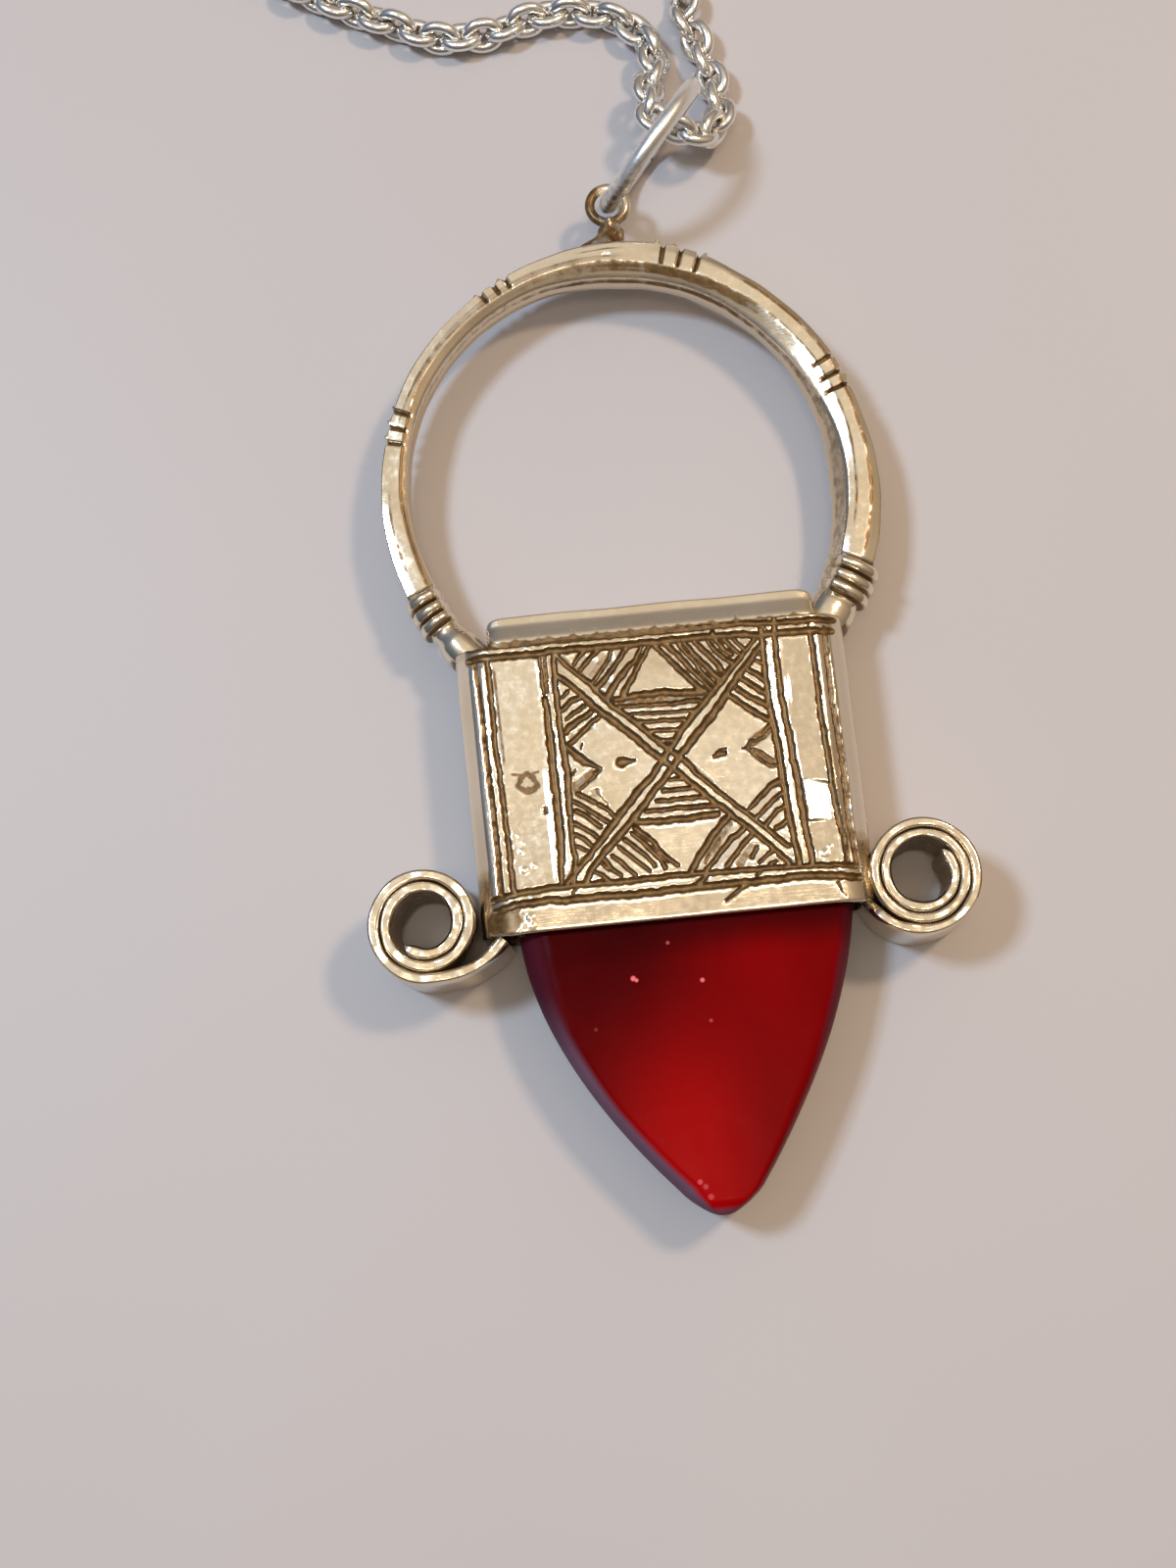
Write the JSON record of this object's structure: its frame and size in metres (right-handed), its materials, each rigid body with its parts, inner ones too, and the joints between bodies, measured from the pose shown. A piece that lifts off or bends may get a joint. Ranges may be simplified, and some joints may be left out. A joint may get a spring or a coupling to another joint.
{
  "type": "cross necklace",
  "caption": "Silver cross pendant with an engraved box case, a forged hoop, side scrolls and a pointed red glass stone, on a fine link chain with a ring clasp.",
  "frame": {"origin": "centre of the case's flat back, on the surface that the pendant lies on", "axes": "+Y up the pendant from the stone's tip to the hoop and along the chain, +X to the right as seen from the front, +Z out of the engraved front"},
  "size_m": [0.1196, 0.2294, 0.0081],
  "materials": {
    "engraved_silver": "warm hand-polished silver with dark brown patina in the engraved lines, grooves and corners",
    "red_glass": "deep red, slightly cloudy glass with a ground, softened edge",
    "worn_silver": "worn silver wire with brown tarnish at its ends",
    "chain_silver": "bright, lightly oxidised silver links"
  },
  "bodies": {
    "root": {"setting": "engraved_silver", "stone": "red_glass", "jump_ring": "worn_silver", "chain": "chain_silver", "clasp": "chain_silver"}
  },
  "joints": []
}
